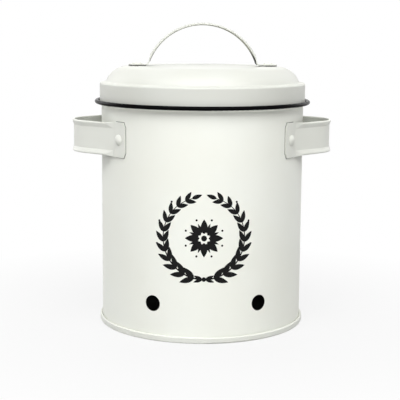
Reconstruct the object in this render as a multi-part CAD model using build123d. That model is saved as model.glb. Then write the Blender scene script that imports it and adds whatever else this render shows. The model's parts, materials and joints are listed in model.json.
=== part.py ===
from build123d import *
import math
import os

# A sheet-steel storage tin with a lift-off lid, two side handles and air holes low in its wall.
# Millimetres, +Z up, front toward -Y, handles along +X and -X.
# The origin is on the table, under the middle of the tin.
# Angles round the tin are in degrees, counted from +X toward +Y.

# Sheet steel
sheet = 0.6                # wall, base, rim roll and lid
lap = 0.1                  # paint and air between two layers of sheet
layer = sheet + lap        # from one folded layer to the next
fold_slack = 0.01          # keeps the two arcs of a tight turn apart

# Wall
body_radius = 85.0         # outside of the wall
wall_lap_width = 6.0       # overlap where the wall sheet closes, at the back
wall_lap_angle = 90.0
wall_lap_start = 1.0       # above the seam

# Double seam that joins wall and base
seam_height = 5.2
base_lift = 3.2            # underside of the base panel above the table
base_corner = 1.5          # bend between the panel and its rim
seam_corner = 1.0          # round outer foot of the seam
fold_radius = layer - fold_slack

# Air holes
vent_radius = 6.5
vent_height = 30.4
vent_count = 6
first_vent_angle = -60.0

# Rolled rim and the ledge that carries the lid
rim_height = 187.2         # middle of the roll above the table
bead_radius = 1.65
bead_grip = 1.0            # how far the ledge reaches into the roll
ledge_bend = 1.9
wire_gap = 0.05            # wire to the inside of the roll

# Lid
skirt_step = 1.4           # skirt outside the wall's own radius
seat_clearance = 1.0       # skirt to roll, all round
lid_gap = 0.3              # skirt above its ledge at rest
skirt_height = 16.6
skirt_corner = 1.2
hem_fold_height = 4.0      # skirt edge folded back inside
lid_ledge_width = 4.9
lid_ledge_rise = 0.6
lid_ledge_bend = 2.0
dome_height = 12.9         # flat crown above the inner edge of the lid's ledge
dome_lean = 24.5           # dome side from the vertical
dome_bend = 19.0

# Lid handle, a bent strap with hemmed edges
grip_thickness = 1.0
grip_width = 15.0
grip_arch_radius = 47.6    # inside of the arch
grip_rise = 36.05          # top of the arch above the crown
grip_foot_length = 16.1
grip_foot_gap = 0.65
grip_bend = 2.2
grip_corner = 2.5
grip_rivet_inset = 6.8     # rivet from the tip of its foot
grip_hem_height = 3.6

# Side handles, hemmed straps
strap_thickness = 1.0
strap_height = 28.4        # at the tabs
loop_height = 26.9         # between the tabs
strap_drop = 28.2          # middle of the strap below the middle of the roll
strap_gap = 0.1            # tab to wall
strap_reach = 24.5         # outside of the hem beyond the wall
strap_tip_radius = 32.0    # inside of the loop's rounded tip
strap_bend = 8.0
tab_angle = 41.3           # end of a tab from the handle's middle
leave_angle = 32.0         # where the strap leaves the wall
tab_clip_along = 2.0
tab_clip_up = 4.0

# Edges of the straps, folded outward and pressed to a crest near the edge
hem_thickness = 1.1        # crest above the strap's face
hem_height = 4.6
hem_crest = 1.4            # crest from the edge
hem_round = 0.95
crest_round = 1.2
hem_clear = 0.3            # between a hem's end and the bend
hem_taper = 7.0            # length over which a hem fades out

# Rivets
rivet_head_radius = 4.25
rivet_head_height = 2.2
rivet_head_edge = 0.4
rivet_shank_radius = 2.0
rivet_tail_radius = 3.2
rivet_tail_height = 1.1
rivet_hole_gap = 0.1
rivet_seat_gap = 0.02
rivet_angle = 35.9         # side handle rivet from the handle's middle

# Sizes that follow
wall_middle = body_radius - sheet / 2
ledge_under = rim_height - bead_radius
ledge_top = ledge_under + sheet
skirt_radius = body_radius + skirt_step
bead_ring = skirt_radius + seat_clearance + bead_radius
ledge_end = bead_ring - bead_radius + bead_grip
skirt_bottom = ledge_top + lid_gap
skirt_top = skirt_bottom + skirt_height
dome_foot = skirt_radius - lid_ledge_width
crown = skirt_top + lid_ledge_rise + dome_height
foot_under = crown + grip_foot_gap
grip_top = crown + grip_rise
arch_outside = grip_arch_radius + grip_thickness
arch_middle = grip_top - hem_thickness - arch_outside
foot_level = foot_under + grip_thickness - arch_middle
foot_start = math.sqrt(arch_outside ** 2 - foot_level ** 2)
foot_tip = foot_start + grip_foot_length
foot_turn = math.acos(foot_level / arch_outside)
grip_bend_run = (grip_bend + grip_thickness) * math.tan(foot_turn / 2)
grip_hem_angle = math.degrees(foot_turn - (grip_bend_run + hem_clear) / arch_outside)
grip_rivet_x = foot_tip - grip_rivet_inset
tab_inside = body_radius + strap_gap
tab_outside = tab_inside + strap_thickness
strap_middle = rim_height - strap_drop
strap_bottom = strap_middle - strap_height / 2
far = 2 * body_radius      # longer than anything that is cut
cut_start = body_radius / 2    # cutters through the wall start inside the tin
loop_root = body_radius / 8    # loop's plan runs on this far under the wall's circle


def loop_shape():
    """Side handle's loop: middle of its tip, angle of its straight sides' normals and their length."""
    leave_x = tab_inside * math.cos(math.radians(leave_angle))
    leave_y = tab_inside * math.sin(math.radians(leave_angle))
    middle = body_radius + strap_reach - hem_thickness - strap_thickness - strap_tip_radius
    reach = math.hypot(leave_x - middle, leave_y)
    toward = math.atan2(leave_y, leave_x - middle)
    lean = math.degrees(toward - math.acos(strap_tip_radius / reach))
    return middle, lean, math.sqrt(reach ** 2 - strap_tip_radius ** 2)


tip_middle, side_lean, side_length = loop_shape()
side_turn = math.radians(side_lean - leave_angle)
side_bend_run = (strap_bend + strap_thickness) * math.tan(side_turn / 2)
side_hem_length = side_length - side_bend_run - hem_clear


def ring(section):
    """Turn a section drawn as (radius, height) once round the tin's axis."""
    return revolve(Plane.XZ * section, axis=Axis.Z)


def sheet_ring(points, bends):
    """Ring of thin sheet whose middle runs through (radius, height) points."""
    path = FilletPolyline(*points, radius=bends)
    return ring(trace(path, line_width=sheet))


def radial_pin(radius, start, end, height, angle):
    """Round pin that points away from the tin's axis."""
    pin = Cylinder(radius, end - start, align=(Align.CENTER, Align.CENTER, Align.MIN))
    return Rot(0, 0, angle) * Pos(start, 0, height) * Rot(0, 90, 0) * pin


def side_rivet_angles():
    """Angles of the rivets: right rear, right front, left front, left rear."""
    return rivet_angle, -rivet_angle, 180 + rivet_angle, 180 - rivet_angle


def rivet_hole(angle):
    """Cutter for a side handle rivet, through tab and wall."""
    hole_radius = rivet_shank_radius + rivet_hole_gap
    return radial_pin(hole_radius, cut_start, far, strap_middle, angle)


def wall_lap():
    """Overlap strip of the closing seam at the back of the wall."""
    half = math.degrees(wall_lap_width / 2 / body_radius)
    low = seam_height + wall_lap_start
    high = ledge_under - ledge_bend
    band = Circle(body_radius + sheet) - Circle(wall_middle)
    left = (far * math.cos(math.radians(half)), far * math.sin(math.radians(half)))
    right = (left[0], -left[1])
    sector = make_face(Polyline((0, 0), right, left, close=True))
    strip = extrude(band & sector, high - low)
    return Rot(0, 0, wall_lap_angle) * Pos(0, 0, low) * strip


def body_wall():
    """Wall with its hook in the base seam, its ledge under the rim and its air holes."""
    hook = wall_middle + 2 * layer
    turn = sheet / 2 + layer
    hook_tip = seam_height - sheet - fold_radius
    ledge = ledge_under + sheet / 2
    points = [(hook, hook_tip), (hook, turn), (wall_middle, turn), (wall_middle, ledge), (ledge_end, ledge)]
    wall = sheet_ring(points, [fold_radius, fold_radius, ledge_bend])
    wall += wall_lap()
    for step in range(vent_count):
        angle = first_vent_angle + step * 360 / vent_count
        wall -= radial_pin(vent_radius, cut_start, far, vent_height, angle)
    for angle in side_rivet_angles():
        wall -= rivet_hole(angle)
    return wall


def base_pan():
    """Raised panel whose edge runs under the wall and folds over its hook."""
    chuck = wall_middle - layer
    outside = wall_middle + 3 * layer
    hook = wall_middle + layer
    panel = base_lift + sheet / 2
    floor = sheet / 2
    top = seam_height - sheet / 2
    hook_tip = sheet + layer + fold_radius
    points = [(0, panel), (chuck, panel), (chuck, floor), (outside, floor)]
    points += [(outside, top), (hook, top), (hook, hook_tip)]
    bends = [base_corner, fold_radius, seam_corner, fold_radius, fold_radius]
    return sheet_ring(points, bends)


def rim_bead():
    """Rolled rim, closed on the top of the wall's ledge."""
    roll = Pos(bead_ring, rim_height) * (Circle(bead_radius) - Circle(bead_radius - sheet))
    slot_end = ledge_end + lap
    slot = make_face(Polyline(
        (body_radius, ledge_under - sheet), (slot_end, ledge_under - sheet),
        (slot_end, ledge_top), (body_radius, ledge_top), close=True))
    return ring(roll - slot)


def rim_wire():
    """Wire that the rim is rolled round."""
    return ring(Pos(bead_ring, rim_height) * Circle(bead_radius - sheet - wire_gap))


def rivet(grip):
    """Domed rivet along +X, head seat at x = 0, tail beyond x = -grip."""
    rise = rivet_head_height - rivet_head_edge
    dome = (rise ** 2 + rivet_head_radius ** 2) / (2 * rise)
    half_radius = rivet_head_radius / 2
    half_height = rivet_head_height - dome + math.sqrt(dome ** 2 - half_radius ** 2)
    tail_end = -grip - rivet_tail_height
    outline = [
        Line((rivet_head_height, 0), (tail_end, 0)),
        Line((tail_end, 0), (tail_end, rivet_tail_radius)),
        Line((tail_end, rivet_tail_radius), (-grip, rivet_tail_radius)),
        Line((-grip, rivet_tail_radius), (-grip, rivet_shank_radius)),
        Line((-grip, rivet_shank_radius), (0, rivet_shank_radius)),
        Line((0, rivet_shank_radius), (0, rivet_head_radius)),
        Line((0, rivet_head_radius), (rivet_head_edge, rivet_head_radius)),
        ThreePointArc((rivet_head_edge, rivet_head_radius), (half_height, half_radius), (rivet_head_height, 0)),
    ]
    solid = revolve(make_face(outline), axis=Axis.X)
    tail_rim = solid.edges().filter_by(GeomType.CIRCLE).group_by(Axis.X)[0]
    return fillet(tail_rim, rivet_tail_height / 2)


def side_rivet(angle):
    """Rivet through a tab and the wall; its tail clears the hollow side of the wall."""
    seat = tab_outside + rivet_seat_gap
    wall_inside = math.sqrt((body_radius - sheet) ** 2 - rivet_tail_radius ** 2)
    grip = seat - wall_inside + rivet_seat_gap
    return Rot(0, 0, angle) * Pos(seat, 0, strap_middle) * rivet(grip)


def lid_rivet(side):
    """Rivet through a foot of the lid handle and the crown."""
    grip = grip_thickness + grip_foot_gap + sheet
    seat = foot_under + grip_thickness
    return Pos(side * grip_rivet_x, 0, seat) * Rot(0, -90, 0) * rivet(grip)


def side_point(growth, along, side):
    """Plan point on a straight side of the loop, so far along it from the rounded tip."""
    lean = math.radians(side_lean)
    reach = strap_tip_radius + growth
    x = tip_middle + reach * math.cos(lean) - along * math.sin(lean)
    return x, side * (reach * math.sin(lean) + along * math.cos(lean))


def strap_region(growth, bend):
    """Plan of tin and loop together, grown outward, with rounded inner corners."""
    past_wall = side_length + loop_root
    front_in, rear_in = side_point(growth, past_wall, -1), side_point(growth, past_wall, 1)
    front, rear = side_point(growth, 0, -1), side_point(growth, 0, 1)
    tip = (tip_middle + strap_tip_radius + growth, 0)
    loop = make_face([
        Line(front_in, front),
        ThreePointArc(front, tip, rear),
        Line(rear, rear_in),
        Line(rear_in, front_in),
    ])
    both = Circle(tab_inside + growth) + loop
    corners = both.vertices().sort_by(Axis.X)[:2]
    return fillet(corners, bend)


def bent_bar(section, radius, half_angle, straight):
    """Bar bent round +X about the Z axis, with a straight run at each end; the section is (outward, height)."""
    placed = Plane.XZ * Pos(radius, 0) * section
    bar = Rot(0, 0, -half_angle) * revolve(placed, axis=Axis.Z, revolution_arc=2 * half_angle)
    if straight > 0:
        for side in (-1, 1):
            bar += Rot(0, 0, side * half_angle) * extrude(placed, -side * straight)
    return bar


def folded_edge(height, radius, half_angle, straight):
    """Fold below an edge at z = 0 that fades out at its ends, and the corners it takes off the strap."""
    thickness = strap_thickness + hem_thickness
    points = [(0, 0), (0, -height), (strap_thickness, -height), (thickness, -hem_crest), (thickness, 0)]
    rounds = [hem_round, 0, 0, crest_round, hem_round]
    section = make_face(FilletPolyline(*points, radius=rounds, close=True))
    square = Rectangle(thickness, hem_round, align=(Align.MIN, Align.MAX))
    fold = bent_bar(section, radius, half_angle, straight)
    corners = bent_bar(square - section, radius, half_angle, straight)
    above = thickness + lap
    under = strap_thickness - (above - strap_thickness) * lap / hem_taper
    slope = make_face(Polyline((above, -hem_taper), (above, lap), (under, lap), close=True))
    wedge = Pos(0, 0, -height - lap) * extrude(slope, height + 2 * lap)
    for side in (-1, 1):
        cut = wedge if side > 0 else mirror(wedge, Plane.XZ)
        fold -= Rot(0, 0, side * half_angle) * Pos(radius, side * straight, 0) * cut
    return fold, corners


def hemmed(strap, place, width, height, radius, half_angle, straight=0):
    """Strap with both edges folded outward; place takes a strap bent round +X to where it lies."""
    fold, corners = folded_edge(height, radius, half_angle, straight)
    fold = Pos(0, 0, width / 2) * fold
    corners = Pos(0, 0, width / 2) * corners
    strap = strap - place * corners + place * fold
    return strap - place * mirror(corners, Plane.XY) + place * mirror(fold, Plane.XY)


def tab_clip():
    """Corner cut off a tab, at its end and its edge."""
    return make_face(Polyline((0, 0), (tab_clip_along, 0), (0, tab_clip_up), close=True))


def loop_shoulder():
    """What is cut off above the loop, which is lower than its tabs: a slope where the hem fades out."""
    hem_end = side_point(0, side_hem_length, 1)[0]
    hem_full = side_point(0, side_hem_length - hem_taper, 1)[0]
    outline = Polyline(
        (hem_end, strap_height / 2), (hem_full, loop_height / 2), (far, loop_height / 2),
        (far, strap_height), (hem_end, strap_height), close=True)
    return extrude(Plane.XZ * make_face(outline), far, both=True)


def side_handle():
    """Right handle: two flat tabs, a loop between them and a hem along each edge of the loop."""
    plan = strap_region(strap_thickness, strap_bend) - strap_region(0, strap_bend + strap_thickness)
    edge_x = far * math.cos(math.radians(tab_angle))
    edge_y = far * math.sin(math.radians(tab_angle))
    sector = make_face(Polyline((0, 0), (edge_x, -edge_y), (edge_x, edge_y), close=True))
    handle = Pos(0, 0, strap_bottom) * extrude(plan & sector, strap_height)
    shoulder = loop_shoulder()
    handle -= Pos(0, 0, strap_middle) * shoulder
    handle -= Pos(0, 0, strap_middle) * mirror(shoulder, Plane.XY)
    clip = tab_clip()
    for side in (-1, 1):
        for end in (-1, 1):
            corner = mirror(clip, Plane.YZ) if side > 0 else clip
            corner = mirror(corner, Plane.XZ) if end > 0 else corner
            cutter = Plane.YZ * extrude(corner, far)
            level = strap_middle + end * strap_height / 2
            handle -= Rot(0, 0, side * tab_angle) * Pos(0, 0, level) * cutter
    place = Pos(tip_middle, 0, strap_middle)
    handle = hemmed(handle, place, loop_height, hem_height, strap_tip_radius, side_lean, side_hem_length)
    for angle in (-rivet_angle, rivet_angle):
        handle -= rivet_hole(angle)
    return handle


def lid_shell():
    """Pressed lid: flat crown, round shoulder, narrow ledge and a hemmed skirt."""
    half = sheet / 2
    skirt = skirt_radius - half
    low = skirt_bottom + half
    dome_top = dome_foot - dome_height * math.tan(math.radians(dome_lean))
    points = [(0, crown - half), (dome_top - half, crown - half)]
    points += [(dome_foot - half, skirt_top + lid_ledge_rise - half), (skirt, skirt_top - half)]
    points += [(skirt, low), (skirt - layer, low), (skirt - layer, low + hem_fold_height)]
    turn = layer / 2 - fold_slack
    bends = [dome_bend, lid_ledge_bend, skirt_corner, turn, turn]
    lid = sheet_ring(points, bends)
    for side in (-1, 1):
        hole = Cylinder(rivet_shank_radius + rivet_hole_gap, dome_height)
        lid -= Pos(side * grip_rivet_x, 0, crown) * hole
    return lid


def grip_region(radius, floor, bend):
    """Front view of arch and crown together, with rounded inner corners."""
    arch = Pos(0, arch_middle) * Circle(radius)
    ground = Pos(0, floor) * Rectangle(2 * far, far, align=(Align.CENTER, Align.MAX))
    both = arch + ground
    corners = both.vertices().filter_by_position(Axis.Y, floor - lap, floor + lap)
    corners = corners.filter_by_position(Axis.X, -grip_arch_radius, grip_arch_radius)
    return fillet(corners, bend)


def lid_handle():
    """Bent strap across the crown, with a flat foot at each end."""
    outside = grip_region(arch_outside, foot_under + grip_thickness, grip_bend)
    inside = grip_region(grip_arch_radius, foot_under, grip_bend + grip_thickness)
    window = Pos(0, foot_under) * Rectangle(2 * foot_tip, far, align=(Align.CENTER, Align.MIN))
    profile = (outside - inside) & window
    strap = extrude(Plane.XZ * profile, grip_width / 2, both=True)
    tips = strap.edges().filter_by(Axis.Z).filter_by_position(Axis.Z, foot_under, foot_under + grip_thickness)
    strap = fillet(tips, grip_corner)
    for side in (-1, 1):
        hole = Cylinder(rivet_shank_radius + rivet_hole_gap, dome_height)
        strap -= Pos(side * grip_rivet_x, 0, foot_under) * hole
    place = Plane(origin=(0, 0, arch_middle), x_dir=(0, 0, 1), z_dir=(0, 1, 0))
    return hemmed(strap, place.location, grip_width, grip_hem_height, grip_arch_radius, grip_hem_angle)


def main():
    os.makedirs("parts", exist_ok=True)
    right = side_handle()
    right_rear, right_front, left_front, left_rear = side_rivet_angles()
    pieces = {
        "body_wall": body_wall(),
        "base_pan": base_pan(),
        "rim_bead": rim_bead(),
        "rim_wire": rim_wire(),
        "right_handle": right,
        "left_handle": Rot(0, 0, 180) * right,
        "right_handle_front_rivet": side_rivet(right_front),
        "right_handle_rear_rivet": side_rivet(right_rear),
        "left_handle_front_rivet": side_rivet(left_front),
        "left_handle_rear_rivet": side_rivet(left_rear),
        "lid_shell": lid_shell(),
        "lid_handle": lid_handle(),
        "lid_handle_left_rivet": lid_rivet(-1),
        "lid_handle_right_rivet": lid_rivet(1),
    }
    for name, piece in pieces.items():
        export_step(piece, os.path.join("parts", name + ".step"))


main()
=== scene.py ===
import json
import math

import bmesh
import bpy
from mathutils import Matrix, Vector

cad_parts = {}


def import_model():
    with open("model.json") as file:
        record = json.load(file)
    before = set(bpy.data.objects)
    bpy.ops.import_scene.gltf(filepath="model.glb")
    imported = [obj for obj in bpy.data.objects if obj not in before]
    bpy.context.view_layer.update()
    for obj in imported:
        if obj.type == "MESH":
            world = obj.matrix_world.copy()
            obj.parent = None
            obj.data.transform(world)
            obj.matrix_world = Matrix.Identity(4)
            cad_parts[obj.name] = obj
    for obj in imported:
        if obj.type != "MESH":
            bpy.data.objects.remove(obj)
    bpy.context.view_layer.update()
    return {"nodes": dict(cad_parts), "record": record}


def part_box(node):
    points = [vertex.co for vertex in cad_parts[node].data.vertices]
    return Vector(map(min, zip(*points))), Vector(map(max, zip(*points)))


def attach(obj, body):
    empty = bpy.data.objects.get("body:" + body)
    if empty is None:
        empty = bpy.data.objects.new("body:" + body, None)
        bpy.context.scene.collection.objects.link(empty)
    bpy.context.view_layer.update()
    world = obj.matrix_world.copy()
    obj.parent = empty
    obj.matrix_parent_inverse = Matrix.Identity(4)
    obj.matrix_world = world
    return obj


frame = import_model()

# Metres, +Z up, front toward -Y, handles along +X and -X.
MM = 0.001

# Sizes of the tin that the frame's boxes don't give, in millimetres
SHEET = 0.6
WALL_RADIUS = 85.0
BASE_LIFT = 3.2                # underside of the base panel above the table
GRIP_OUTSIDE = 49.7            # radius of the lid handle's arch, over its hems
GRIP_INSIDE = 47.6             # radius of the arch's inner face
FOOT_GAP = 0.65                # foot of the lid handle above the crown
LOOP_MIDDLE = 75.4             # middle of a side handle's rounded tip, from the tin's axis
TAB_ANGLE = 41.3               # end of a side handle's tab, in degrees from the handle's middle
LEAVE_ANGLE = 32.0             # where the handle leaves the wall
TAB_CLIP = (2.0, 4.0)          # corner cut off a tab, along and up

# Camera, from the viewing angle of the photograph
FRAME_PIXELS = 400
SENSOR = 36.0                  # sensor width, in millimetres as Blender takes it
FOCAL_PIXELS = 1095.2          # focal length in pixels of the 400 px frame
EYE_DISTANCE = 0.92869         # level distance from the tin's axis
EYE_HEIGHT = 0.24970           # above the table
LOOK_DOWN = 9.02               # degrees
LOOK_ASIDE = -0.088            # degrees to the right of the tin's axis
ROLL = 0.396                   # degrees
TIN_TURN = 2.926               # the tin is turned this far from facing the camera
CLIP_START = 0.01              # what is nearer to the camera isn't drawn


def camera():
    """Camera at the photograph's viewing angle, for a tin that faces -Y."""
    pitch, yaw, roll = (math.radians(turn) for turn in (LOOK_DOWN, LOOK_ASIDE, ROLL))
    forward = Vector((math.sin(yaw) * math.cos(pitch), math.cos(yaw) * math.cos(pitch), -math.sin(pitch)))
    level = Vector((math.cos(yaw), -math.sin(yaw), 0))
    over = level.cross(forward)
    right = math.cos(roll) * level + math.sin(roll) * over
    up = -math.sin(roll) * level + math.cos(roll) * over
    turn = Matrix.Rotation(math.radians(-TIN_TURN), 4, "Z")
    axes = Matrix((right, up, -forward)).transposed().to_4x4()
    data = bpy.data.cameras.new("camera")
    data.sensor_width = SENSOR
    data.lens = FOCAL_PIXELS / FRAME_PIXELS * SENSOR
    data.clip_start = CLIP_START
    obj = bpy.data.objects.new("camera", data)
    obj.matrix_world = turn @ Matrix.Translation((0, -EYE_DISTANCE, EYE_HEIGHT)) @ axes
    bpy.context.scene.collection.objects.link(obj)
    bpy.context.scene.camera = obj


# Helpers for shader nodes. All but the first return the output socket of what they build.
def nodes_of(name):
    """New node material: its material, node tree and Principled shader."""
    material = bpy.data.materials.new(name)
    material.use_nodes = True
    tree = material.node_tree
    shader = next(n for n in tree.nodes if n.type == "BSDF_PRINCIPLED")
    return material, tree, shader


def vector_math(tree, operation, first, second=None):
    """Vector operation on a socket and a second socket or plain vector."""
    node = tree.nodes.new("ShaderNodeVectorMath")
    node.operation = operation
    tree.links.new(first, node.inputs[0])
    if isinstance(second, bpy.types.NodeSocket):
        tree.links.new(second, node.inputs[1])
    elif second is not None:
        node.inputs[1].default_value = second
    return node.outputs["Value" if operation in ("LENGTH", "DOT_PRODUCT") else "Vector"]


def maths(tree, operation, first, second):
    """Plain operation on a socket and a second socket or number."""
    node = tree.nodes.new("ShaderNodeMath")
    node.operation = operation
    tree.links.new(first, node.inputs[0])
    if isinstance(second, bpy.types.NodeSocket):
        tree.links.new(second, node.inputs[1])
    else:
        node.inputs[1].default_value = second
    return node.outputs["Value"]


def spread(tree, value, low, high, start=0.0, end=1.0):
    """Map a value from start to end onto low to high, held at both ends."""
    node = tree.nodes.new("ShaderNodeMapRange")
    node.inputs["From Min"].default_value = start
    node.inputs["From Max"].default_value = end
    node.inputs["To Min"].default_value = low
    node.inputs["To Max"].default_value = high
    tree.links.new(value, node.inputs["Value"])
    return node.outputs["Result"]


def object_point(tree, origin=(0, 0, 0), keep=(1, 1, 1)):
    """Place on the object, counted from origin and multiplied by keep."""
    place = tree.nodes.new("ShaderNodeTexCoord")
    away = vector_math(tree, "SUBTRACT", place.outputs["Object"], origin)
    return vector_math(tree, "MULTIPLY", away, keep)


def noise(tree, scale, detail):
    """Noise in the object's own metres, as a 0 to 1 value."""
    texture = tree.nodes.new("ShaderNodeTexNoise")
    texture.inputs["Scale"].default_value = scale
    texture.inputs["Detail"].default_value = detail
    place = tree.nodes.new("ShaderNodeTexCoord")
    tree.links.new(place.outputs["Object"], texture.inputs["Vector"])
    return texture.outputs["Fac"]


def bump(tree, height, distance, under=None):
    """Bump of the given height in metres, over another bump if there is one."""
    node = tree.nodes.new("ShaderNodeBump")
    node.inputs["Strength"].default_value = 1.0
    node.inputs["Distance"].default_value = distance
    tree.links.new(height, node.inputs["Height"])
    if under is not None:
        tree.links.new(under, node.inputs["Normal"])
    return node.outputs["Normal"]


def two_tone(tree, value, first, second):
    """Colour that goes from first to second with a 0 to 1 value; either may be a socket."""
    mix = tree.nodes.new("ShaderNodeMix")
    mix.data_type = "RGBA"
    for name, tone in (("A", first), ("B", second)):
        if isinstance(tone, bpy.types.NodeSocket):
            tree.links.new(tone, mix.inputs[name])
        else:
            mix.inputs[name].default_value = (*tone, 1)
    tree.links.new(value, mix.inputs["Factor"])
    return mix.outputs["Result"]


# Cream powder coat
CREAM = (0.86, 0.875, 0.815)
CREAM_WARM = (0.845, 0.855, 0.785)
CLOUDS = (0.35, 0.65)          # noise values between which one cream turns into the other
CREAM_ROUGHNESS = (0.42, 0.54)
WAVE_HEIGHT = 0.12 * MM
PEEL_HEIGHT = 0.010 * MM
# Shade factors: darker copies of the coat on some pieces, as painted shade
WALL_SHADE = 1.0               # the other pieces take darker copies of the coat, painted shade for the lesser light on them
LID_SHADE = 0.75
STRAP_SHADE = 0.88
GRIP_SHADE = 0.74
BASE_SHADE = 0.85

# Marks on the coat, painted shade and some dust: a tone each, and where it goes
NEAR_BLACK_SHADE = (0.02, 0.02, 0.019)            # near-black painted shade on the hidden sides of the sheet: inside the tin, on the crown under the lid handle's feet and low inside its legs
STRAP_INSIDE_SHADE = (0.52, 0.53, 0.49)        # painted shade on the inner faces of the side handles
GRIP_INSIDE_SHADE = (0.35, 0.35, 0.29)         # painted shade on the inner faces of the lid handle
CREVICE_DUST_AND_SHADE = (0.16, 0.16, 0.145)            # dust and painted shade where two pieces meet
DULL = 0.9                               # roughness of a mark
MASK_EDGE = 0.1 * MM                  # half the width over which the coat and a mark of near-black painted shade meet
CREVICE_WIDTH = (0.35 * MM, 0.75 * MM)   # full out to the first distance, gone at the second
LEAVE_FADE = 1.0                         # degrees over which the crevice starts on the tab's side
LEG_FADE = (6.0 * MM, 14.0 * MM)         # heights between which the near-black painted shade inside the legs ends
FOOT_EDGE = (0.25 * MM, 0.6 * MM)        # and the dust and painted shade on the lower edge of the feet
FACING = (0.4, 0.7)                      # share of a face's normal along a direction: mark starts, mark full


def cream_paint(name, shade, marks=()):
    """Satin powder coat with fine orange peel, slight waves and an uneven tone; shade darkens the whole coat
    as painted shade, and marks are (mask, tone), patches of painted shade, some with dust.
    """
    material, tree, shader = nodes_of(name)
    light, warm = ([shade * part for part in tone] for tone in (CREAM, CREAM_WARM))
    cloud = spread(tree, noise(tree, scale=14, detail=3), 0, 1, *CLOUDS)
    coat = two_tone(tree, cloud, light, warm)
    rough = spread(tree, noise(tree, scale=60, detail=3), *CREAM_ROUGHNESS)
    for mask, tone in marks:
        share = mask(tree)
        coat = two_tone(tree, share, coat, tone)
        rough = maths(tree, "MAXIMUM", rough, maths(tree, "MULTIPLY", share, DULL))
    tree.links.new(coat, shader.inputs["Base Color"])
    tree.links.new(rough, shader.inputs["Roughness"])
    waves = bump(tree, noise(tree, scale=26, detail=1), WAVE_HEIGHT)
    peel = bump(tree, noise(tree, scale=900, detail=1.5), PEEL_HEIGHT, waves)
    tree.links.new(peel, shader.inputs["Normal"])
    return material


def within(tree, radius):
    """1 nearer to the tin's axis than radius."""
    across = vector_math(tree, "LENGTH", object_point(tree, keep=(1, 1, 0)))
    return spread(tree, across, 1, 0, radius - MASK_EDGE, radius + MASK_EDGE)


def inside_wall(tree):
    """1 on the hollow side of the wall."""
    return within(tree, (WALL_RADIUS - SHEET / 2) * MM)


def above_base(tree):
    """1 on top of the base panel, inside the wall."""
    height = vector_math(tree, "LENGTH", object_point(tree, keep=(0, 0, 1)))
    middle = (BASE_LIFT + SHEET / 2) * MM
    above = spread(tree, height, 0, 1, middle - MASK_EDGE, middle + MASK_EDGE)
    return maths(tree, "MULTIPLY", above, within(tree, (WALL_RADIUS - SHEET) * MM))


def beside_tabs(tree):
    """1 on the wall along the edges of the side handles' tabs."""
    low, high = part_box("right_handle")
    middle = (low[2] + high[2]) / 2
    half = (high[2] - low[2]) / 2
    parts = tree.nodes.new("ShaderNodeSeparateXYZ")
    tree.links.new(vector_math(tree, "ABSOLUTE", object_point(tree, (0, 0, middle))), parts.inputs[0])
    angle = maths(tree, "ARCTAN2", parts.outputs["Y"], parts.outputs["X"])
    turn = maths(tree, "SUBTRACT", angle, math.radians(TAB_ANGLE))
    along = maths(tree, "MULTIPLY", turn, WALL_RADIUS * MM)
    up = maths(tree, "SUBTRACT", parts.outputs["Z"], half)
    clip_length = math.hypot(*TAB_CLIP)
    steep = maths(tree, "MULTIPLY", along, TAB_CLIP[1] / clip_length)
    flat = maths(tree, "MULTIPLY", up, TAB_CLIP[0] / clip_length)
    reach = TAB_CLIP[0] * TAB_CLIP[1] / clip_length * MM
    clipped = maths(tree, "ADD", maths(tree, "ADD", steep, flat), reach)
    away = maths(tree, "MAXIMUM", maths(tree, "MAXIMUM", along, up), clipped)
    line = spread(tree, away, 1, 0, *CREVICE_WIDTH)
    bounds = (math.radians(LEAVE_ANGLE), math.radians(LEAVE_ANGLE + LEAVE_FADE))
    return maths(tree, "MULTIPLY", line, spread(tree, angle, 0, 1, *bounds))


def under_feet(tree):
    """1 on the crown under the feet of the lid handle."""
    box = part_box("lid_handle")
    crown = box[0][2] - FOOT_GAP * MM
    parts = tree.nodes.new("ShaderNodeSeparateXYZ")
    tree.links.new(vector_math(tree, "ABSOLUTE", object_point(tree)), parts.inputs[0])
    share = spread(tree, parts.outputs["Z"], 0, 1, crown - SHEET * MM, crown)
    sides = (("X", GRIP_INSIDE * MM, 0, 1), ("X", box[1][0], 1, 0), ("Y", box[1][1], 1, 0))
    for axis, edge, before, beyond in sides:
        side = spread(tree, parts.outputs[axis], before, beyond, edge - MASK_EDGE, edge + MASK_EDGE)
        share = maths(tree, "MULTIPLY", share, side)
    return share


def looks_along(tree, direction):
    """1 on faces that look along direction, which is a socket or a plain vector."""
    normal = tree.nodes.new("ShaderNodeTexCoord").outputs["Normal"]
    return spread(tree, vector_math(tree, "DOT_PRODUCT", normal, direction), 0, 1, *FACING)


def looks_toward(tree, middle, keep):
    """1 on faces that look toward middle; keep is -1 for the axes that count and 0 for the others."""
    return looks_along(tree, vector_math(tree, "NORMALIZE", object_point(tree, middle, keep)))


def inside_loop(hand):
    """Mask of a side handle's inner faces; hand is 1 on the right and -1 on the left."""
    return lambda tree: looks_toward(tree, (hand * LOOP_MIDDLE * MM, 0, 0), (-1, -1, 0))


def under_arch(tree):
    """1 on the inner faces of the lid handle's arch and under its feet."""
    inside = looks_toward(tree, (0, 0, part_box("lid_handle")[1][2] - GRIP_OUTSIDE * MM), (-1, 0, -1))
    return maths(tree, "MAXIMUM", inside, looks_along(tree, (0, 0, -1)))


def low_on_grip(tree, near, far):
    """1 on the lid handle up to the height near over its lowest point, 0 from the height far."""
    height = vector_math(tree, "LENGTH", object_point(tree, (0, 0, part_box("lid_handle")[0][2]), (0, 0, 1)))
    return spread(tree, height, 1, 0, near, far)


def under_legs(tree):
    """1 on the inner faces low on the lid handle's legs and under its feet."""
    return maths(tree, "MULTIPLY", under_arch(tree), low_on_grip(tree, *LEG_FADE))


def foot_edges(tree):
    """1 along the lower edge of the lid handle's feet."""
    return low_on_grip(tree, *FOOT_EDGE)


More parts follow.
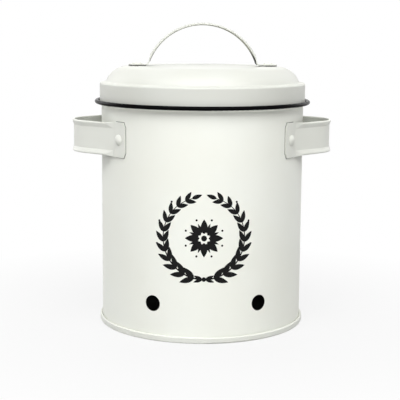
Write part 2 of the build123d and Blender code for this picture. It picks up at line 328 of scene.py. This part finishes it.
# Black enamel of the rim
BLACK = (0.001, 0.001, 0.0013)
BLACK_THIN = (0.003, 0.003, 0.0035)
BLACK_ROUGHNESS = (0.16, 0.26)
BLACK_SPECULAR = 0.02
RIPPLE_HEIGHT = 0.01 * MM


def black_paint():
    """Gloss black enamel with a faint ripple."""
    material, tree, shader = nodes_of("black_paint")
    tone = two_tone(tree, noise(tree, scale=80, detail=2), BLACK, BLACK_THIN)
    tree.links.new(tone, shader.inputs["Base Color"])
    shader.inputs["Specular IOR Level"].default_value = BLACK_SPECULAR
    rough = spread(tree, noise(tree, scale=200, detail=2), *BLACK_ROUGHNESS)
    tree.links.new(rough, shader.inputs["Roughness"])
    ripple = bump(tree, noise(tree, scale=500, detail=1), RIPPLE_HEIGHT)
    tree.links.new(ripple, shader.inputs["Normal"])
    return material


# Steel of the rim's wire
STEEL = (0.50, 0.50, 0.51)
STEEL_BRIGHT = (0.66, 0.66, 0.67)
STEEL_ROUGHNESS = (0.28, 0.45)


def bare_steel():
    """Bare steel with an uneven, fine-grained surface."""
    material, tree, shader = nodes_of("bare_steel")
    shader.inputs["Metallic"].default_value = 1.0
    tone = two_tone(tree, noise(tree, scale=300, detail=3), STEEL, STEEL_BRIGHT)
    tree.links.new(tone, shader.inputs["Base Color"])
    rough = spread(tree, noise(tree, scale=700, detail=3), *STEEL_ROUGHNESS)
    tree.links.new(rough, shader.inputs["Roughness"])
    return material


# Ink of the print
INK = (0.003, 0.003, 0.003)
INK_THIN = (0.008, 0.008, 0.008)
INK_ROUGHNESS = (0.42, 0.60)
INK_SPECULAR = 0.12


def print_ink():
    """Matt black transfer print with slightly uneven cover."""
    material, tree, shader = nodes_of("print_ink")
    tone = two_tone(tree, noise(tree, scale=400, detail=3), INK, INK_THIN)
    tree.links.new(tone, shader.inputs["Base Color"])
    shader.inputs["Specular IOR Level"].default_value = INK_SPECULAR
    rough = spread(tree, noise(tree, scale=900, detail=2), *INK_ROUGHNESS)
    tree.links.new(rough, shader.inputs["Roughness"])
    return material


def paint_nodes():
    """Each CAD node takes the material of its slot, or its own copy of it, darkened as painted shade and
    with marks of painted shade.
    """
    by_slot = {
        "cream_paint": cream_paint("cream_paint_strap", STRAP_SHADE),
        "black_paint": black_paint(),
        "bare_steel": bare_steel(),
    }
    # Wall: dust and painted shade beside the tabs, and near-black painted shade on the inside of the tin
    wall_marks = ((beside_tabs, CREVICE_DUST_AND_SHADE), (inside_wall, NEAR_BLACK_SHADE))
    # Lid handle: painted shade on its inner faces, dust and painted shade along its feet, near-black painted
    # shade low inside its legs
    grip_marks = ((under_arch, GRIP_INSIDE_SHADE), (foot_edges, CREVICE_DUST_AND_SHADE), (under_legs, NEAR_BLACK_SHADE))
    # Each piece's own coat is darkened by its shade factor as painted shade, and its marks are painted shade
    own = {
        "body_wall": cream_paint("cream_paint_wall", WALL_SHADE, wall_marks),
        # Painted shade on the inner faces of the side handles
        "right_handle": cream_paint("cream_paint_right", STRAP_SHADE, ((inside_loop(1), STRAP_INSIDE_SHADE),)),
        "left_handle": cream_paint("cream_paint_left", STRAP_SHADE, ((inside_loop(-1), STRAP_INSIDE_SHADE),)),
        # Near-black painted shade on top of the base panel, inside the tin
        "base_pan": cream_paint("cream_paint_base", BASE_SHADE, ((above_base, NEAR_BLACK_SHADE),)),
        # Near-black painted shade on the crown under the lid handle's feet
        "lid_shell": cream_paint("cream_paint_lid", LID_SHADE, ((under_feet, NEAR_BLACK_SHADE),)),
        "lid_handle": cream_paint("cream_paint_grip", GRIP_SHADE, grip_marks),
    }
    for subpart in frame["record"]["subparts"]:
        name = subpart["node"]
        materials = frame["nodes"][name].data.materials
        materials.clear()
        materials.append(own.get(name, by_slot[subpart["material_slot"]]))


# Printed wreath on the front of the wall. Places on it are (across, up) in millimetres from its middle.
INK_RISE = 0.05                # ink above the wall
INK_SINK = 0.05                # ink below the wall's own faces
PRINT_TURN = -1.5              # middle of the print, in degrees to the right of the front
PRINT_HEIGHT = 85.2            # middle of the print above the table
BLADE_STEPS = 12
BLADE_EDGE = 0.04              # least half width of a leaf or petal
LEAF_BELLY = 0.8               # under 1 the widest point moves toward the foot
LEAF_FULLNESS = 0.85           # under 1 the ends get blunter

# Branches
WREATH_RADIUS = 33.0
WREATH_FOOT = 4.0              # degrees from the lowest point to the foot of a branch
WREATH_OPEN = 17.0             # degrees from the highest point to the tip of a branch
ARC_STEPS = 48
BRANCH_WIDTH = (1.3, 0.5)      # at the foot and at the tip
LEAF_PAIRS = 11
LEAF_START = 0.7               # first pair of leaves, in steps from the foot of the branch
LEAF_END = 0.4                 # the branch is this much longer than one step for each pair
LEAF_LENGTH = (12.5, 8.5)      # at the foot and at the tip
LEAF_WIDTH = (4.6, 3.4)
LEAF_SPREAD = 31.0             # degrees between a leaf and its branch
TIP_LEAF_TURN = 86.0           # leaf at the tip of a branch, in degrees from straight out
BERRY = 1.7                    # across
BERRY_OUT = 5.6                # outside the branch
BERRY_BACK = 1.5               # degrees behind its leaves

# Ribbon at the foot of the wreath
KNOT = 3.6                     # across
TAIL_START = 1.2               # from the middle of the knot
TAIL_HEADINGS = (-18, 24)      # degrees above the level
TAIL = (7.5, 2.6)              # length and width

# Rosette in the middle
ROSETTE_HEART = 4.6            # across
ROSETTE_PETALS = 8
PETAL_START = 3.6
PETAL = (11.5, 5.6)            # length and width
SMALL_PETAL_START = 4.6
SMALL_PETAL = (8.0, 2.2)
ROSETTE_DOTS = 15.6            # radius of the ring of dots


def on_wall(point, rise):
    """Place of a point of the print, at a height above the wall's face."""
    across, up = point
    angle = across / WALL_RADIUS + math.radians(PRINT_TURN)
    radius = WALL_RADIUS + rise
    return Vector((radius * math.sin(angle), -radius * math.cos(angle), PRINT_HEIGHT + up)) * MM


def ink(mesh, rows):
    """Thin closed solid on the wall, through rows of points."""
    levels = []
    for rise in (-INK_SINK, INK_RISE):
        levels.append([[mesh.verts.new(on_wall(point, rise)) for point in row] for row in rows])
    under, top = levels
    last = len(rows[0]) - 1
    for a in range(len(rows) - 1):
        b = a + 1
        for level in levels:
            for j in range(last):
                mesh.faces.new((level[a][j], level[a][j + 1], level[b][j + 1], level[b][j]))
        for j in (0, last):
            mesh.faces.new((under[a][j], under[b][j], top[b][j], top[a][j]))
    for a in (0, len(rows) - 1):
        for j in range(last):
            mesh.faces.new((under[a][j], under[a][j + 1], top[a][j + 1], top[a][j]))


def polar(radius, degrees):
    """Point at a radius and an angle from the +across direction."""
    return Vector((radius * math.cos(math.radians(degrees)), radius * math.sin(math.radians(degrees))))


def leaf_shape(along):
    """Half width of a leaf at a share of its length, as a share of its largest."""
    return math.sin(math.pi * along ** LEAF_BELLY) ** LEAF_FULLNESS


def round_shape(along):
    """The same for a disc."""
    return math.sqrt(max(0.0, 1 - (2 * along - 1) ** 2))


def blade(mesh, start, heading, length, width, shape):
    """Flat form from start along a heading in degrees, as wide as its shape says."""
    along = polar(1, heading)
    side = polar(1, heading + 90)
    rows = []
    for step in range(BLADE_STEPS + 1):
        share = step / BLADE_STEPS
        half = max(width / 2 * shape(share), BLADE_EDGE)
        middle = start + along * length * share
        rows.append([middle - side * half, middle, middle + side * half])
    ink(mesh, rows)


def disc(mesh, middle, diameter):
    """Round dot."""
    blade(mesh, middle - Vector((diameter / 2, 0)), 0, diameter, diameter, round_shape)


def between(ends, share):
    """Value at a share of the way from one end to the other."""
    return ends[0] + (ends[1] - ends[0]) * share


def branch(mesh, hand):
    """One half of the wreath; hand is 1 on the right and -1 on the left."""
    ends = (-90 + hand * WREATH_FOOT, -90 + hand * (180 - WREATH_OPEN))
    rows = []
    for step in range(ARC_STEPS + 1):
        share = step / ARC_STEPS
        turn = between(ends, share)
        half = between(BRANCH_WIDTH, share) / 2
        rows.append([polar(WREATH_RADIUS - half, turn), polar(WREATH_RADIUS + half, turn)])
    ink(mesh, rows)
    for pair in range(LEAF_PAIRS):
        share = (pair + LEAF_START) / (LEAF_PAIRS + LEAF_END)
        turn = between(ends, share)
        ahead = turn + hand * 90
        length = between(LEAF_LENGTH, share)
        width = between(LEAF_WIDTH, share)
        for side in (-1, 1):
            blade(mesh, polar(WREATH_RADIUS, turn), ahead + side * LEAF_SPREAD, length, width, leaf_shape)
        if pair % 2 and pair < LEAF_PAIRS - 1:
            disc(mesh, polar(WREATH_RADIUS + BERRY_OUT, turn - hand * BERRY_BACK), BERRY)
    heading = ends[1] + hand * TIP_LEAF_TURN
    blade(mesh, polar(WREATH_RADIUS, ends[1]), heading, LEAF_LENGTH[1], LEAF_WIDTH[1], leaf_shape)


def ribbon_tails(mesh, hand):
    """Two short ends of the ribbon on one side."""
    for heading in TAIL_HEADINGS:
        tail = heading if hand > 0 else 180 - heading
        blade(mesh, Vector((hand * TAIL_START, -WREATH_RADIUS)), tail, *TAIL, leaf_shape)


def rosette(mesh):
    """Flower of long and narrow petals with a ring of dots."""
    disc(mesh, Vector((0, 0)), ROSETTE_HEART)
    for petal in range(ROSETTE_PETALS):
        turn = petal * 360 / ROSETTE_PETALS
        gap = turn + 180 / ROSETTE_PETALS
        blade(mesh, polar(PETAL_START, turn), turn, *PETAL, leaf_shape)
        blade(mesh, polar(SMALL_PETAL_START, gap), gap, *SMALL_PETAL, leaf_shape)
        disc(mesh, polar(ROSETTE_DOTS, gap), BERRY)


def wreath_print():
    """Black print on the wall: two laurel branches, tied at the foot, round a rosette."""
    mesh = bmesh.new()
    for hand in (-1, 1):
        branch(mesh, hand)
        ribbon_tails(mesh, hand)
    disc(mesh, Vector((0, -WREATH_RADIUS)), KNOT)
    rosette(mesh)
    bmesh.ops.recalc_face_normals(mesh, faces=mesh.faces)
    data = bpy.data.meshes.new("wreath_print")
    mesh.to_mesh(data)
    mesh.free()
    data.materials.append(print_ink())
    obj = bpy.data.objects.new("wreath_print", data)
    bpy.context.scene.collection.objects.link(obj)
    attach(obj, "tin")


# Surroundings and lamps
FLOOR_SIZE = 6.0               # metres from the tin to each edge
FLOOR_TONE = 0.5
FLOOR_ROUGHNESS = 0.6
FLOOR_WHITE = 0.82             # share of plain white near the tin, where its shadow still shows
FLOOR_FADE = (0.11, 0.32)      # from here to here the floor turns all white
LIGHT_AIM = (0, 0, 0.12)


def seen_rays(tree):
    """1 for camera, glossy and transmission rays, and 0 for the light that falls on the object."""
    path = tree.nodes.new("ShaderNodeLightPath")
    total = path.outputs["Is Camera Ray"]
    for name in ("Is Glossy Ray", "Is Transmission Ray"):
        total = maths(tree, "MAXIMUM", total, path.outputs[name])
    return total


def world():
    """White surroundings where they are seen or mirrored, which give no other light."""
    scene_world = bpy.data.worlds.new("world")
    bpy.context.scene.world = scene_world
    scene_world.use_nodes = True
    tree = scene_world.node_tree
    background = next(n for n in tree.nodes if n.type == "BACKGROUND")
    background.inputs["Color"].default_value = (1, 1, 1, 1)
    tree.links.new(seen_rays(tree), background.inputs["Strength"])


def floor():
    """Large pale floor that keeps a faint shadow near the tin and is white further out."""
    corners = [(x * FLOOR_SIZE, y * FLOOR_SIZE, 0) for x, y in ((-1, -1), (1, -1), (1, 1), (-1, 1))]
    mesh = bpy.data.meshes.new("floor")
    mesh.from_pydata(corners, [], [(0, 1, 2, 3)])
    obj = bpy.data.objects.new("floor", mesh)
    bpy.context.scene.collection.objects.link(obj)
    material, tree, shader = nodes_of("floor")
    shader.inputs["Base Color"].default_value = (FLOOR_TONE, FLOOR_TONE, FLOOR_TONE, 1)
    shader.inputs["Roughness"].default_value = FLOOR_ROUGHNESS
    distance = vector_math(tree, "LENGTH", object_point(tree))
    white = spread(tree, distance, FLOOR_WHITE, 1.0, *FLOOR_FADE)
    glow = tree.nodes.new("ShaderNodeEmission")
    glow.inputs["Color"].default_value = (1, 1, 1, 1)
    mix = tree.nodes.new("ShaderNodeMixShader")
    output = next(n for n in tree.nodes if n.type == "OUTPUT_MATERIAL")
    tree.links.new(maths(tree, "MULTIPLY", white, seen_rays(tree)), mix.inputs["Fac"])
    tree.links.new(shader.outputs["BSDF"], mix.inputs[1])
    tree.links.new(glow.outputs["Emission"], mix.inputs[2])
    tree.links.new(mix.outputs["Shader"], output.inputs["Surface"])
    mesh.materials.append(material)


def soft_light(name, place, size, watts):
    """Area light, size (wide, high), turned to the middle of the tin."""
    data = bpy.data.lights.new(name, "AREA")
    data.shape = "RECTANGLE"
    data.size, data.size_y = size
    data.energy = watts
    obj = bpy.data.objects.new(name, data)
    obj.location = place
    obj.rotation_euler = (Vector(LIGHT_AIM) - Vector(place)).to_track_quat("-Z", "Y").to_euler()
    bpy.context.scene.collection.objects.link(obj)


def lights():
    """Most light from above in front, and a little from each other side."""
    soft_light("front_top", (0, -0.9, 1.4), (1.9, 1.0), 32.3)
    soft_light("front", (0, -1.3, 1.0), (2.4, 0.8), 3.1)
    soft_light("front_left", (-1.0, -1.0, 1.1), (1.0, 1.0), 3.7)
    soft_light("front_right", (0.6, -1.2, 1.1), (0.8, 1.0), 1.2)
    soft_light("rear_left", (-1.3, 1.0, 0.7), (1.0, 1.0), 9.5)
    soft_light("rear_right", (1.3, 1.0, 0.7), (1.0, 1.0), 6.3)
    soft_light("rear", (0, 1.6, 1.0), (1.0, 1.0), 3.0)


bpy.context.scene.view_settings.view_transform = "Standard"
camera()
paint_nodes()
wreath_print()
world()
floor()
lights()
